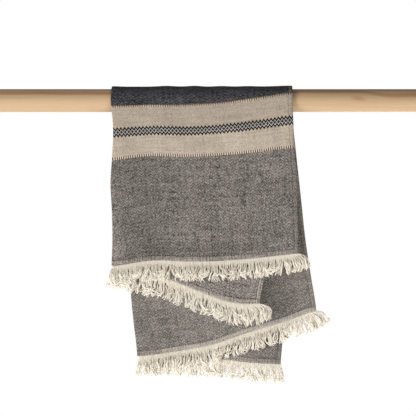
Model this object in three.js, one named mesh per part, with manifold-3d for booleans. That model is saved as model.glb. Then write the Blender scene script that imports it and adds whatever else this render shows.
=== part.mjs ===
// A guest towel, folded once along its length and hung over a round wooden rod.
// Millimetres, +Z up. The rod runs along +X, and the centre of its left end face is the origin.
// The towel's front faces -Y. Its fold is on the left, its two woven edges are on the right.
import * as THREE from "three";
import { mergeVertices } from "three/addons/utils/BufferGeometryUtils.js";
import Module from "manifold-3d";

const wasm = await Module();
wasm.setup();

// Rod
const ROD_LENGTH = 600;
const ROD_RADIUS = 15;
const ROD_SIDES = 48;
const ROD_EDGE = 1;

// Cloth
const CLOTH_THICKNESS = 1.1;
const ROD_CLEARANCE = 0.5;
const LAYER_GAP = 0.7;
const INNER_LIFT = ROD_RADIUS + ROD_CLEARANCE + CLOTH_THICKNESS / 2;
const OUTER_LIFT = INNER_LIFT + CLOTH_THICKNESS + LAYER_GAP;
const HEM_SPREAD = 2.2;

// Fringe
const HEADING_HEIGHT = 5;
const HEADING_GAP = 0.3;
const STRAND_PITCH = 4.4;
const STRAND_WIDTH = 2.9;
const STRAND_DEPTH = 0.8;
const STRAND_TAPER = 0.55;
const STRAND_LENGTH = 19;
const STRAND_ROOT = 1.5;
const STRAND_SWAY = 0.7;
const STRAND_UNEVEN = 2;

// Mesh steps
const LAYER_CELLS = 12;
const FOLD_CELLS = 3;
const ACROSS_CELLS = 2 * LAYER_CELLS + FOLD_CELLS;
const FRONT_ROWS = 9;
const WRAP_ROWS = 10;
const BACK_ROWS = 12;
const ALONG_ROWS = FRONT_ROWS + WRAP_ROWS + BACK_ROWS;
const STRAND_STEPS = 2;

// Where the fold and the four woven edges run, as distances from the rod's left end.
// down is the share of the way from the rod's axis to the hem, in even steps.
const RAILS = [
  { down: 0 / 6, frontFold: 175, frontOuter: 410, frontInner: 408, backFold: 176, backInner: 410, backOuter: 410 },
  { down: 1 / 6, frontFold: 178, frontOuter: 411, frontInner: 402, backFold: 181, backInner: 414, backOuter: 408 },
  { down: 2 / 6, frontFold: 177, frontOuter: 413, frontInner: 395, backFold: 187, backInner: 419, backOuter: 406 },
  { down: 3 / 6, frontFold: 175, frontOuter: 416, frontInner: 389, backFold: 193, backInner: 424, backOuter: 404 },
  { down: 4 / 6, frontFold: 177, frontOuter: 416, frontInner: 382, backFold: 198, backInner: 429, backOuter: 403 },
  { down: 5 / 6, frontFold: 178, frontOuter: 417, frontInner: 375, backFold: 203, backInner: 436, backOuter: 401 },
  { down: 6 / 6, frontFold: 177, frontOuter: 418, frontInner: 367, backFold: 209, backInner: 443, backOuter: 396 },
];

// How far below the rod's axis each hem hangs. across is the share of the width from fold to edge, in even steps.
const HEMS = [
  { across: 0.0, frontOuter: 216, frontInner: 216, backInner: 336, backOuter: 336 },
  { across: 0.2, frontOuter: 209, frontInner: 225, backInner: 330, backOuter: 338 },
  { across: 0.4, frontOuter: 210, frontInner: 235, backInner: 322, backOuter: 339 },
  { across: 0.6, frontOuter: 209, frontInner: 250, backInner: 306, backOuter: 341 },
  { across: 0.8, frontOuter: 205, frontInner: 263, backInner: 292, backOuter: 345 },
  { across: 1.0, frontOuter: 200, frontInner: 266, backInner: 277, backOuter: 347 },
];

// Soft ridges and troughs of the hanging cloth: place along the rod, half width, and rise outwards at the hem.
// start is how far below the rod's axis each begins, and lean is how far it drifts along the rod for each mm down.
const FRONT_WAVES = [
  { at: 192, width: 15, rise: 1.6, start: 30, lean: 0 },
  { at: 226, width: 24, rise: -1.9, start: 50, lean: 0.03 },
  { at: 292, width: 38, rise: 1.7, start: 70, lean: -0.05 },
  { at: 362, width: 26, rise: -1.5, start: 40, lean: 0.02 },
  { at: 404, width: 16, rise: 1.5, start: 60, lean: 0.04 },
];
const BACK_WAVES = [
  { at: 205, width: 22, rise: -1.8, start: 60, lean: 0.08 },
  { at: 262, width: 30, rise: 2.4, start: 60, lean: 0.06 },
  { at: 335, width: 34, rise: -2.4, start: 50, lean: 0.1 },
  { at: 402, width: 24, rise: 1.8, start: 40, lean: 0.1 },
];

// The cloth lies slightly proud of the rod in a few places along its crest.
const CREST_BUMPS = [
  { at: 176, width: 10, rise: 0.5 },
  { at: 246, width: 16, rise: 0.5 },
  { at: 282, width: 10, rise: 0.4 },
  { at: 352, width: 16, rise: 0.5 },
  { at: 410, width: 30, rise: 1.3 },
];

// The four hanging layers. side is -1 in front of the rod and 1 behind it.
// The leans say how far the fringe's tips drift along the rod at the fold and at the woven edge,
// and edgeLift how much less the outermost strands drop, as they fan out sideways.
const LAYERS = {
  frontOuter: { side: -1, lift: OUTER_LIFT, fold: "frontFold", leanFold: -8, leanEdge: 14, edgeLift: 5 },
  frontInner: { side: -1, lift: INNER_LIFT, fold: "frontFold", leanFold: -4, leanEdge: 15, edgeLift: 9 },
  backInner: { side: 1, lift: INNER_LIFT, fold: "backFold", leanFold: -3, leanEdge: 19, edgeLift: 13 },
  backOuter: { side: 1, lift: OUTER_LIFT, fold: "backFold", leanFold: -3, leanEdge: 2, edgeLift: 0 },
};
const FAN_SHARE = 0.14;

const MATERIALS = {
  wood: new THREE.MeshStandardMaterial({ color: 0xd4b48b, roughness: 0.55, metalness: 0 }),
  cloth: new THREE.MeshStandardMaterial({ color: 0x7e7872, roughness: 0.95, metalness: 0 }),
  yarn: new THREE.MeshStandardMaterial({ color: 0xe3d8c4, roughness: 0.95, metalness: 0 }),
};

// A column of a table as a smooth function of the share 0 to 1, carried straight on past 1.
function smoothColumn(table, column) {
  const curve = new THREE.SplineCurve(table.map((row, i) => new THREE.Vector2(i, row[column])));
  const step = 0.02;
  const end = curve.getPoint(1).y;
  const slope = (end - curve.getPoint(1 - step).y) / step;
  return (share) => (share > 1 ? end + slope * (share - 1) : curve.getPoint(Math.max(share, 0)).y);
}

const railColumns = Object.keys(RAILS[0]).filter((name) => name !== "down");
const rail = Object.fromEntries(railColumns.map((name) => [name, smoothColumn(RAILS, name)]));
const hem = Object.fromEntries(Object.keys(LAYERS).map((name) => [name, smoothColumn(HEMS, name)]));

function bell(distance, width) {
  return Math.exp(-((distance / width) ** 2));
}

function waveLift(waves, x, drop) {
  return waves.reduce((sum, wave) => {
    const grown = THREE.MathUtils.smoothstep(drop, wave.start, wave.start + 160);
    return sum + wave.rise * grown * bell(x - wave.at - wave.lean * drop, wave.width);
  }, 0);
}

function crestLift(x, drop) {
  const fade = 1 - THREE.MathUtils.smoothstep(drop, 0, 60);
  return CREST_BUMPS.reduce((sum, bump) => sum + bump.rise * fade * bell(x - bump.at, bump.width), 0);
}

// Place of a layer's middle: across is 0 at the fold and 1 at the edge, down is 0 at the rod and 1 at the hem,
// and past is a distance below the hem. Gives x, drop below the axis and lift out from the rod's middle plane.
function layerPlace(name, across, down, past) {
  const { side, lift, fold } = LAYERS[name];
  const reach = hem[name](across);
  const drop = down * reach + past;
  const share = drop / reach;
  const x = THREE.MathUtils.lerp(rail[fold](share), rail[name](share), across);
  const waves = waveLift(side < 0 ? FRONT_WAVES : BACK_WAVES, x, drop);
  const spread = lift === INNER_LIFT ? -HEM_SPREAD * THREE.MathUtils.smoothstep(drop, 20, 240) : 0;
  return { x, drop, lift: lift + waves + spread + crestLift(x, drop) };
}

// A point across the folded cloth, counted in cells: the outer layer from its edge to the fold,
// round the fold, and the inner layer from the fold to its edge.
function crossPlace(side, cell, down, past) {
  const outer = side < 0 ? "frontOuter" : "backOuter";
  const inner = side < 0 ? "frontInner" : "backInner";
  if (cell <= LAYER_CELLS) return layerPlace(outer, 1 - cell / LAYER_CELLS, down, past);
  const beyondFold = cell - LAYER_CELLS - FOLD_CELLS;
  if (beyondFold >= 0) return layerPlace(inner, beyondFold / LAYER_CELLS, down, past);
  const from = layerPlace(outer, 0, down, past);
  const to = layerPlace(inner, 0, down, past);
  const turn = (Math.PI * (cell - LAYER_CELLS)) / FOLD_CELLS;
  const radius = (from.lift - to.lift) / 2;
  return {
    x: from.x - radius * Math.sin(turn),
    drop: from.drop,
    lift: (from.lift + to.lift) / 2 + radius * Math.cos(turn),
  };
}

// The cloth's middle surface. row counts from the front hem, up, over the rod and down to the back hem.
function clothPoint(cell, row, past = 0) {
  const overRod = row - FRONT_ROWS;
  if (overRod <= 0) {
    const front = crossPlace(-1, cell, -overRod / FRONT_ROWS, past);
    return new THREE.Vector3(front.x, -front.lift, -front.drop);
  }
  if (overRod >= WRAP_ROWS) {
    const back = crossPlace(1, cell, (overRod - WRAP_ROWS) / BACK_ROWS, past);
    return new THREE.Vector3(back.x, back.lift, -back.drop);
  }
  const share = overRod / WRAP_ROWS;
  const front = crossPlace(-1, cell, 0, 0);
  const back = crossPlace(1, cell, 0, 0);
  const lift = THREE.MathUtils.lerp(front.lift, back.lift, share);
  const angle = Math.PI * share;
  return new THREE.Vector3(
    THREE.MathUtils.lerp(front.x, back.x, share),
    -lift * Math.cos(angle),
    lift * Math.sin(angle),
  );
}

function clothNormal(cell, row, past) {
  const step = 0.01;
  const cellSpan = [Math.max(cell - step, 0), Math.min(cell + step, ACROSS_CELLS)];
  const rowSpan = [Math.max(row - step, 0), Math.min(row + step, ALONG_ROWS)];
  const acrossWay = clothPoint(cellSpan[1], row, past).sub(clothPoint(cellSpan[0], row, past));
  const alongWay = clothPoint(cell, rowSpan[1], past).sub(clothPoint(cell, rowSpan[0], past));
  return acrossWay.cross(alongWay).normalize();
}

// Moves every vertex of a geometry by a function of its flat place.
function bend(geometry, place) {
  const flat = geometry.getAttribute("position");
  const point = new THREE.Vector3();
  for (let i = 0; i < flat.count; i++) {
    point.fromBufferAttribute(flat, i);
    flat.setXYZ(i, ...place(point.x, point.y, point.z).toArray());
  }
  geometry.computeVertexNormals();
  return geometry;
}

// A flat slab of cells by rows, its corner at the origin, with its thickness along Z.
function slab(cells, rows, thickness) {
  return new THREE.BoxGeometry(cells, rows, thickness, cells, rows, 1).translate(cells / 2, rows / 2, 0);
}

function makeCloth() {
  return bend(slab(ACROSS_CELLS, ALONG_ROWS, CLOTH_THICKNESS), (cell, row, level) =>
    clothPoint(cell, row).addScaledVector(clothNormal(cell, row, 0), level),
  );
}

// The packed heading of a fringe, a narrow strip just below the hem, from one cell to another.
function makeHeading(row, fromCell, toCell) {
  const cells = Math.round(toCell - fromCell);
  return bend(slab(cells, 1, CLOTH_THICKNESS), (cell, level, out) => {
    const at = THREE.MathUtils.lerp(fromCell, toCell, cell / cells);
    const away = row === 0 ? 1 - level : level;
    const past = HEADING_GAP + HEADING_HEIGHT * away;
    return clothPoint(at, row, past).addScaledVector(clothNormal(at, row, past), out);
  });
}

// One lock of yarn, leaving the heading at a share of the layer's width.
function makeStrand(name, across, index) {
  const { side, leanFold, leanEdge, edgeLift } = LAYERS[name];
  const foldFan = (Math.max(FAN_SHARE - across, 0) / FAN_SHARE) ** 1.5;
  const edgeFan = (Math.max(across - 1 + FAN_SHARE, 0) / FAN_SHARE) ** 1.5;
  const lean = leanFold * foldFan + leanEdge * edgeFan + STRAND_SWAY * Math.sin(index * 2.4);
  const length = STRAND_LENGTH + STRAND_UNEVEN * Math.sin(index * 1.7) - edgeLift * edgeFan;
  const top = HEADING_GAP + HEADING_HEIGHT - STRAND_ROOT;
  const box = new THREE.BoxGeometry(STRAND_WIDTH, STRAND_DEPTH, 1, 1, 1, STRAND_STEPS);
  return bend(box, (wide, deep, level) => {
    const along = 0.5 - level;
    const place = layerPlace(name, across, 1, top + (length + STRAND_ROOT) * along);
    const narrow = 1 - STRAND_TAPER * along;
    const x = place.x + lean * along ** 1.4 + wide * narrow;
    return new THREE.Vector3(x, side * place.lift + deep * narrow, -place.drop);
  });
}

function toSolid(geometry) {
  const bare = geometry.clone();
  bare.deleteAttribute("normal");
  bare.deleteAttribute("uv");
  const merged = mergeVertices(bare, 1e-4);
  return new wasm.Manifold(
    new wasm.Mesh({
      numProp: 3,
      vertProperties: merged.attributes.position.array,
      triVerts: new Uint32Array(merged.index.array),
    }),
  );
}

function fromSolid(solid) {
  const { vertProperties, triVerts } = solid.getMesh();
  const geometry = new THREE.BufferGeometry();
  geometry.setAttribute("position", new THREE.BufferAttribute(vertProperties, 3));
  geometry.setIndex(new THREE.BufferAttribute(triVerts, 1));
  geometry.computeVertexNormals();
  return geometry;
}

// A fringe: its heading with the locks of yarn fused to it, evenly spaced along the hem.
function makeFringe(name) {
  const { side, fold } = LAYERS[name];
  const width = rail[name](1) - rail[fold](1);
  const count = Math.round(width / STRAND_PITCH);
  const row = side < 0 ? 0 : ALONG_ROWS;
  const isOuter = name.endsWith("Outer");
  const foldGap = 0.04;
  const foldEnd = LAYER_CELLS + FOLD_CELLS;
  let solid = isOuter
    ? toSolid(makeHeading(row, 0, foldEnd))
    : toSolid(makeHeading(row, foldEnd + foldGap, ACROSS_CELLS));
  for (let i = 0; i < count; i++) {
    solid = solid.add(toSolid(makeStrand(name, (i + 0.5) / count, i)));
  }
  return fromSolid(solid);
}

// The rod: a turned profile with its end edges eased, laid along +X.
function makeRod() {
  const profile = [
    [0, 0],
    [ROD_RADIUS - ROD_EDGE, 0],
    [ROD_RADIUS, ROD_EDGE],
    [ROD_RADIUS, ROD_LENGTH - ROD_EDGE],
    [ROD_RADIUS - ROD_EDGE, ROD_LENGTH],
    [0, ROD_LENGTH],
  ].map(([radius, height]) => new THREE.Vector2(radius, height));
  return new THREE.LatheGeometry(profile, ROD_SIDES).rotateZ(-Math.PI / 2);
}

function named(name, geometry, material) {
  const mesh = new THREE.Mesh(geometry, material);
  mesh.name = name;
  return mesh;
}

const towelOnRod = new THREE.Group();
towelOnRod.add(named("rod", makeRod(), MATERIALS.wood));
towelOnRod.add(named("towel_cloth", makeCloth(), MATERIALS.cloth));
towelOnRod.add(named("fringe_front_outer", makeFringe("frontOuter"), MATERIALS.yarn));
towelOnRod.add(named("fringe_front_inner", makeFringe("frontInner"), MATERIALS.yarn));
towelOnRod.add(named("fringe_back_inner", makeFringe("backInner"), MATERIALS.yarn));
towelOnRod.add(named("fringe_back_outer", makeFringe("backOuter"), MATERIALS.yarn));

export default towelOnRod;
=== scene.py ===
import math
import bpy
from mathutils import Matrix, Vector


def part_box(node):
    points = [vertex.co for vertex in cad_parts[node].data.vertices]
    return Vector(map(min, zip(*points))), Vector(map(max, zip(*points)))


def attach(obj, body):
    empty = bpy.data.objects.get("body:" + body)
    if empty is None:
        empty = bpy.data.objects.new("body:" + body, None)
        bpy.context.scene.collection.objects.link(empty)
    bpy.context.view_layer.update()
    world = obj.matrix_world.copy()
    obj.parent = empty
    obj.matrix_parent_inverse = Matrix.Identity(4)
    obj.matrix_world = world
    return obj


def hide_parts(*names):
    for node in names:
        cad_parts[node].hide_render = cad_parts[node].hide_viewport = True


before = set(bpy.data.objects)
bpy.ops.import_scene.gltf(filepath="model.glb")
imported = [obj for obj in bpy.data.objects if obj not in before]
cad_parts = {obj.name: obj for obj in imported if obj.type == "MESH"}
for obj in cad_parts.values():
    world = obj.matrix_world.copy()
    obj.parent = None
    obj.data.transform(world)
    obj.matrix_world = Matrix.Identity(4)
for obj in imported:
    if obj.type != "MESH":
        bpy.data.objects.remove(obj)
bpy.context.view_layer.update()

from types import SimpleNamespace

import bmesh
import bpy
import numpy as np
from bpy.props import FloatProperty, FloatVectorProperty, IntProperty, PointerProperty
from mathutils import Vector

bl_info = {
    "name": "Guest towel on a rod",
    "version": (1, 0, 0),
    "blender": (4, 5, 0),
    "location": "View3D > Sidebar > Towel",
    "description": "A fringed striped guest towel, folded lengthwise and hung over a round wooden rod",
    "category": "Object",
}

MM = 0.001
ROD_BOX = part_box("rod")
ROD_RADIUS = (ROD_BOX[1].z - ROD_BOX[0].z) / 2
ROD_LENGTH = ROD_BOX[1].x - ROD_BOX[0].x

# How the layers lie on the rod, in metres.
SHEET_THICKNESS = 1.1 * MM
ROD_CLEARANCE = 0.5 * MM
LAYER_GAP = 0.7 * MM
INNER_LIFT = ROD_RADIUS + ROD_CLEARANCE + SHEET_THICKNESS / 2
OUTER_LIFT = INNER_LIFT + SHEET_THICKNESS + LAYER_GAP

# How far an inner layer moves away from its outer one, and between which drops it does so.
HEM_SPREAD = 2.2 * MM
SPREAD_DROPS = (20 * MM, 240 * MM)

# Where the fold and the four woven edges run, in millimetres from the rod's left end, in even steps
# down from the rod's axis to the hem.
RAILS = {
    "front_fold": (175, 178, 177, 175, 177, 178, 177),
    "front_outer": (410, 411, 413, 416, 416, 417, 418),
    "front_inner": (408, 402, 395, 389, 382, 375, 367),
    "back_fold": (176, 181, 187, 193, 198, 203, 209),
    "back_inner": (410, 414, 419, 424, 429, 436, 443),
    "back_outer": (410, 408, 406, 404, 403, 401, 396),
}

# How far each hem hangs below the rod's axis, in millimetres, in even steps from the fold to the edge.
# ease is how much cloth the slack above the front hem takes up.
HEMS = {
    "front_outer": (216, 209, 210, 209, 205, 200),
    "front_inner": (216, 225, 235, 250, 263, 266),
    "back_inner": (336, 330, 322, 306, 292, 277),
    "back_outer": (336, 338, 339, 341, 345, 347),
    "ease": (-1, 5, 4, 2, 0, -1),
}

# Where that slack grows and where it fades, measured from the front hem.
SLACK_GROWS = (95 * MM, 210 * MM)
SLACK_FADES = (230 * MM, 380 * MM)

# Soft ridges and troughs, in millimetres: place along the rod, half width, rise outwards at the hem,
# how far below the axis each begins, and its drift along the rod for each millimetre down.
FRONT_WAVES = [
    {"at": 192, "width": 15, "rise": 1.6, "start": 30, "lean": 0.0},
    {"at": 226, "width": 24, "rise": -1.9, "start": 50, "lean": 0.03},
    {"at": 292, "width": 38, "rise": 1.7, "start": 70, "lean": -0.05},
    {"at": 362, "width": 26, "rise": -1.5, "start": 40, "lean": 0.02},
    {"at": 404, "width": 16, "rise": 1.5, "start": 60, "lean": 0.04},
]
BACK_WAVES = [
    {"at": 205, "width": 22, "rise": -1.8, "start": 60, "lean": 0.08},
    {"at": 262, "width": 30, "rise": 2.4, "start": 60, "lean": 0.06},
    {"at": 335, "width": 34, "rise": -2.4, "start": 50, "lean": 0.1},
    {"at": 402, "width": 24, "rise": 1.8, "start": 40, "lean": 0.1},
]
CREST_BUMPS = [
    {"at": 176, "width": 10, "rise": 0.5},
    {"at": 246, "width": 14, "rise": 1.0},
    {"at": 282, "width": 11, "rise": 1.1},
    {"at": 318, "width": 12, "rise": 0.8},
    {"at": 352, "width": 14, "rise": 0.7},
    {"at": 410, "width": 30, "rise": 1.3},
]
WAVE_GROWTH = 160 * MM
CREST_FADE = 60 * MM

# Small unevenness of washed linen: lengths of its swells in metres, how many of each length cross, their
# height for each metre of length, and the share of a drop below the rod over which they grow.
RUMPLE_LENGTHS = (0.07, 0.05, 0.036, 0.026, 0.019)
RUMPLE_CROSSINGS = 6
RUMPLE_HEIGHT = 0.0022
RUMPLE_GROWTH = 0.2
RUMPLE_SEED = 3

# The four hanging layers and their fringes. yarn is the straightened length in millimetres.
# fans are how far, in degrees, the outermost yarns lean at the fold and at the edge, and droop is how much of
# that they lose on the way down. fluff is how far, in millimetres, the fringe may stand inwards and outwards
# from its layer, and curl scales how far the tips turn up.
LAYERS = {
    "front_outer": {
        "side": -1, "lift": OUTER_LIFT, "fold": "front_fold",
        "yarn": 25.5, "fans": (-34, 78), "droop": 0.85, "fluff": (-0.3, 3.2), "curl": 1.0,
    },
    "front_inner": {
        "side": -1, "lift": INNER_LIFT, "fold": "front_fold",
        "yarn": 28, "fans": (-12, 84), "droop": 0.9, "fluff": (-2.8, 0.7), "curl": 0.85,
    },
    "back_inner": {
        "side": 1, "lift": INNER_LIFT, "fold": "back_fold",
        "yarn": 25, "fans": (-10, 84), "droop": 0.6, "fluff": (-3.0, 0.5), "curl": 0.55,
    },
    "back_outer": {
        "side": 1, "lift": OUTER_LIFT, "fold": "back_fold",
        "yarn": 24, "fans": (-8, 18), "droop": 0.4, "fluff": (-0.6, 2.4), "curl": 0.6,
    },
}

# How the yarns fan out at both ends of a hem: the share of the hem that does, how fast the fan fades, the
# lean in degrees of a full fan, and how far its tips curl against it.
FAN_SHARE = 0.16
FAN_POWER = 1.9
FULL_FAN = 30
FAN_CURL = 0.4

# How neighbouring yarns gather in locks. Widths are in millimetres and angles in degrees, a pair is the two
# ends of a range, a spread is about a mean, and depth runs from 0 inwards to 1 outwards.
LOCKS = {
    "width": (1.2, 3.0),
    "lean": 13,
    "lean_spread": 7,
    "swing": (10, 34),
    "turns": (0.9, 1.8),
    "curl": 95,
    "curl_spread": 60,
    "depth": (0.15, 0.85),
    "depth_spread": 0.12,
}

# Lean and curl wander along the hem as waves of these lengths, in millimetres, and their sum is divided.
WANDER_LENGTHS = (75, 47, 29, 18)
WANDER_RANGE = 2.2

# How each yarn differs from its lock, in the same units. A stray yarn follows its lock only in part.
YARNS = {
    "root": (0.1, 0.9),
    "swing": (4, 16),
    "turns": (1.6, 3.2),
    "curl": (0.6, 1.25),
    "curl_spread": 20,
    "length": (0.95, 1.12),
    "depth_spread": 0.08,
    "stand": 0.22,
    "thickness": (0.8, 1.15),
}
STRAY_SHARE = 0.35
STRAY_HOLD = 0.25
STRAY_DEPTH = 0.5

# The yarns' roots: the share of the hem they take up, how much they crowd at its ends, and how far they
# reach into it.
HEM_ENDS = (0.002, 0.998)
END_CROWDING = 0.3
ROOT_TUCK = 0.5 * MM

# What a yarn does on the way down. Pairs are two shares of its length, from 0 at the root to 1 at the tip.
LOOSENS = (0.08, 0.42)
DROOPS = (0.1, 0.85)
STANDS_OUT = (0.1, 0.6)
GATHERS = (0.08, 0.45)
SPREADS_AGAIN = (0.75, 1.0)
GATHERING = 0.6
SPREADING = 0.15
CURL_START = 0.5
CURL_POWER = 1.2
RIPPLE = {"height": 0.35 * MM, "turns": 7, "phase": 2}

# Thickness of a yarn against its own: at the root, then how much it swells and tapers, and where.
ROOT_THICKNESS = 0.85
SWELLING = 0.25
TAPERING = 0.4
SWELLS_OUT = (0.1, 0.6)
TAPERS = (0.9, 1.0)

# A yarn's number, divided by this, is the first value of its UV map.
YARN_CODES = 1000

# Look of a fringe yarn: where it opens and pales in painted light, which draws carry the painted brown shade
# of the gaps between locks and how dark, how much its own tone and its flecks count, the flecks along it, how
# often its plies turn and how far they shift.
YARN_OPENS = (0.12, 0.85)
GAP_SHADE_DRAWS = (0.9, 0.92)
GAP_SHADE_DEPTH = 0.8
OWN_TONE = 0.2
FLECK_TONE = 0.25
FLECKS_ALONG = 9
PLY_TURNS = 14
PLY_SHIFT = 310

# Colours of the small marks, as linear values.
BROWN_YARN = (0.36, 0.22, 0.12)
PALE_TICK = (0.86, 0.73, 0.58)
BROWN_LINE = (0.2, 0.1, 0.06)
ZIGZAG_GROUND = (0.62, 0.58, 0.54)
DIAMOND = (0.045, 0.039, 0.035)
HEM_DOT = (0.03, 0.03, 0.033)
EDGE_CORD = (0.66, 0.6, 0.54)
# Painted brown shade for the gaps between the fringe's locks.
GAP_SHADE_BROWN = (0.4, 0.29, 0.18)

# The woven design, in millimetres from the front hem.
STRIPE_START = 137
ZIGZAG_MIDDLE = 172.5
STRIPE_END = 207.5
CHARCOAL_END = 422
BAND_SOFTNESS = 0.25

# Where the plain weave ends, in millimetres from a hem and from a woven edge.
HEM_ZONE = (5.4, 6.0)
EDGE_ZONE = (4.6, 5.2)

# Where the flat cloth passes from the outer layer to the inner one, in millimetres across, and over which
# lengths the front end's and the back end's own tones fade.
INNER_LAYER = (226, 246)
FRONT_END_FADE = 30
BACK_END_FADE = 30

# How the lines of the design wander and how single yarns drift, in millimetres.
WAVER_LENGTH = 40
WAVER_DEPTH = 1.6
YARN_DRIFT_LENGTH = 7
WARP_DRIFT = 1.4
WEFT_DRIFT = 1.8

# The pointed twill, counted in yarns: how far its lines run before they turn back, its repeat, and how many
# yarns a float passes over in the grey body. FLOAT_SPACING keeps the tones of neighbouring floats apart.
# Then how dark the painted shade on a yarn's round sides is, and how much higher the warp lies.
TWILL_TURN = 4
TWILL_REPEAT = 4
FLOAT_LENGTH = 2
FLOAT_SPACING = 9
YARN_SIDE_SHADE = 0.45
WARP_RELIEF = 0.25

# Rows along the cloth, in millimetres: start, end and softness.
TICK_ROWS = (
    (STRIPE_START + 0.1, STRIPE_START + 3.5, 0.2),
    (STRIPE_END - 2.5, STRIPE_END - 0.1, 0.25),
    (CHARCOAL_END - 0.2, CHARCOAL_END + 1.5, 0.3),
)
BROWN_ROW = (STRIPE_END - 0.8, STRIPE_END + 0.2, 0.2)
BROWN_ROW_DEPTH = 0.8
ZIGZAG_ROW = (ZIGZAG_MIDDLE - 7.5, ZIGZAG_MIDDLE + 7.5, 0.3)
DOT_ROW = (6.0, 7.4, 0.2)
DOT_DEPTH = 0.5
EDGE_CORDS = ((0.3, 1.2, 0.15), (4.2, 5.1, 0.15))
# The groove beside the edge cords, darkened as painted shade.
FURROW_SHADE_ROW = (5.1, 6.6, 0.3)

# Marks that repeat across the cloth: pitch in millimetres, how far they follow the waver, and which part of
# each repeat is marked, as its start, end and softness.
TICKS = {"pitch": 2.85, "waver": 0.6, "part": (0.05, 0.55, 0.06)}
DOTS = {"pitch": 3.3, "waver": 1, "part": (0.1, 0.65, 0.1)}
RIBS = {"pitch": 3.9, "waver": 2, "part": (0.1, 0.55, 0.1)}

# The zigzag, in millimetres: half height of its waves, its distance from the stripe's middle, half width of
# its line, and the half height and reach of the diamonds inside.
ZIGZAG_WAVE = 1.8
ZIGZAG_REACH = 3.8
ZIGZAG_HALF_LINE = 1.5
ZIGZAG_SOFTNESS = 0.1
GROUND_SOFTNESS = 0.3
DIAMOND_WAVE = 1.5
DIAMOND_REACH = 1.0

# Uneven tone of single yarns: how much neighbours differ, and how long a tone lasts, in millimetres.
WARP_TONE = {"step": 0.45, "length": 60}
WEFT_TONE = {"step": 0.4, "length": 45}

# Uneven tone of the cloth: length across and along in millimetres, noise layer, detail and strength.
SWELLS = {
    "band": (17, 200, 2.0, 1, 0.3),
    "blotch": (26, 26, 3.0, 3, 0.3),
    "grain": (1.5, 1.5, 7.0, 1, 0.4),
    "slub": (6, 1.0, 11.0, 2, 0.4),
    "bar": (70, 4.5, 5.0, 2, 0.5),
}

# Patches of painted shade above the front hem and near the fold, and of painted light on the stripe's lower
# half, in millimetres: start, end and softness.
PAINTED_SHADE_ABOVE_HEM = {"along": (8, 20, 5), "across": (60, 210, 40)}
PAINTED_SHADE_NEAR_FOLD = {"along": (0, STRIPE_START, 4), "across": (175, 225, 25)}
PAINTED_LIGHT_LOW_STRIPE = (STRIPE_START, ZIGZAG_MIDDLE, 1)

# The cloth's own tone, and how much its yarns and their flecks vary it.
BASE_TONE = 0.9
WARP_UNEVENNESS = 0.8
WEFT_UNEVENNESS = 1.1
FLECK_STRENGTH = 0.98

# How much each zone adds to the strength of the unevenness, and to the tone itself.
CONTRAST = {"stripe": -0.6, "charcoal": 0.15, "back_end": -0.2}
# Above the front hem and near the fold the tone is darkened as painted shade, and on the stripe's lower half
# it is lightened as painted light.
LIGHTNESS = {"inner": 0.14, "painted_shade_above_hem": -0.19, "painted_shade_near_fold": -0.16, "painted_light_low_stripe": 0.17, "stripe": -0.06}
# The groove beside the woven edge is darkened as painted shade.
SIDE_LIGHTNESS = {"painted_furrow_shade": -0.22, "charcoal": 0.16}

# Tone of the ribs in the hem, of the edge, of the back hem's inner layer and of the small marks.
RIB_LEVEL = 0.1
RIB_HEIGHT = 0.22
EDGE_SHADE = 0.08
EDGE_PALENESS = 0.16
BACK_HEM_PALENESS = 0.38
CORD_PALENESS = 0.1
INNER_CORD_PALENESS = 0.5
BORDER_PALENESS = 0.9
BROWN_YARNS = (0.5, 0.8)
BROWN_YARN_DEPTH = 0.3

# Knots on the front of the rod, in millimetres: place along the rod and above its axis, lean, half length
# and half height, the share that is all knot, how far the grain bends round it, and its shade. They fade
# over this depth, so none shows at the back.
KNOTS = (
    {"x": 496, "z": 1.5, "lean": 0.1, "half": (15, 4.5), "heart": 0.1, "bend": 1.4, "shade": 0.52},
    {"x": 463, "z": 0, "lean": 0, "half": (9, 2.6), "heart": 0.3, "bend": 0.8, "shade": -0.2},
)
KNOT_DEPTH = 6
KNOT_FADE = 9

# The wood's grain: length along the rod and width in millimetres, detail and roughness of its noise. A shade
# is where the noise starts and ends to darken the wood, and how much.
BROAD_GRAIN = (210, 9, 3, 0.5)
FINE_GRAIN = (70, 1.6, 3, 0.6)
FIBRES = (14, 0.5, 2, 0.5)
BROAD_SHADE = (0.45, 0.7, 0.22)
FINE_SHADE = (0.45, 0.75, 0.2)
FIBRE_SHADE = 0.16
FINE_RELIEF = 0.6
WOOD_ROUGHNESS = 0.5
FIBRE_ROUGHNESS = 0.15

# One darker streak on the rod's front: its height above the axis and how it sways, rises to a hump, dips and
# widens along the rod, in millimetres.
STREAK = {
    "height": 7.2,
    "sway": 2.6,
    "sway_length": 50,
    "hump": (405, 515, 22),
    "dip": (500, 545),
    "bend": 2.4,
    "half_width": 1.9,
    "widening": 0.9,
    "fade": (0.5, 1.5),
    "depth": 4,
    "shade": 0.6,
}

# Rings on the rod's ends: their pitch in millimetres, the dark part of each, how much darker the rings and
# the whole end are, and how far the end reaches along the rod.
RING_PITCH = 2.2
RING_PART = (0.6, 1.0)
RING_SHADE = 0.3
END_SHADE = 0.2
END_DEPTH = 0.4
END_SOFTNESS = 0.2

# The lights, in metres from the middle of the rod. One without a target points at the view's middle.
LIGHTS = {
    "key": {"place": (-3.4, -2.9, -0.75), "size": 2.0},
    "card": {"place": (0.35, -0.6, -0.95), "size": 0.9, "target": (0.1, 0, 0)},
    "back": {"place": (1.2, 2.8, -0.5), "size": 1.8},
}
SENSOR_WIDTH = 36

# Light from all round: how bright it is from straight below to straight above.
SKY = ((0.0, 0.9), (0.4, 0.9), (0.5, 0.1), (0.62, 0.2), (1.0, 0.2))

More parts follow.
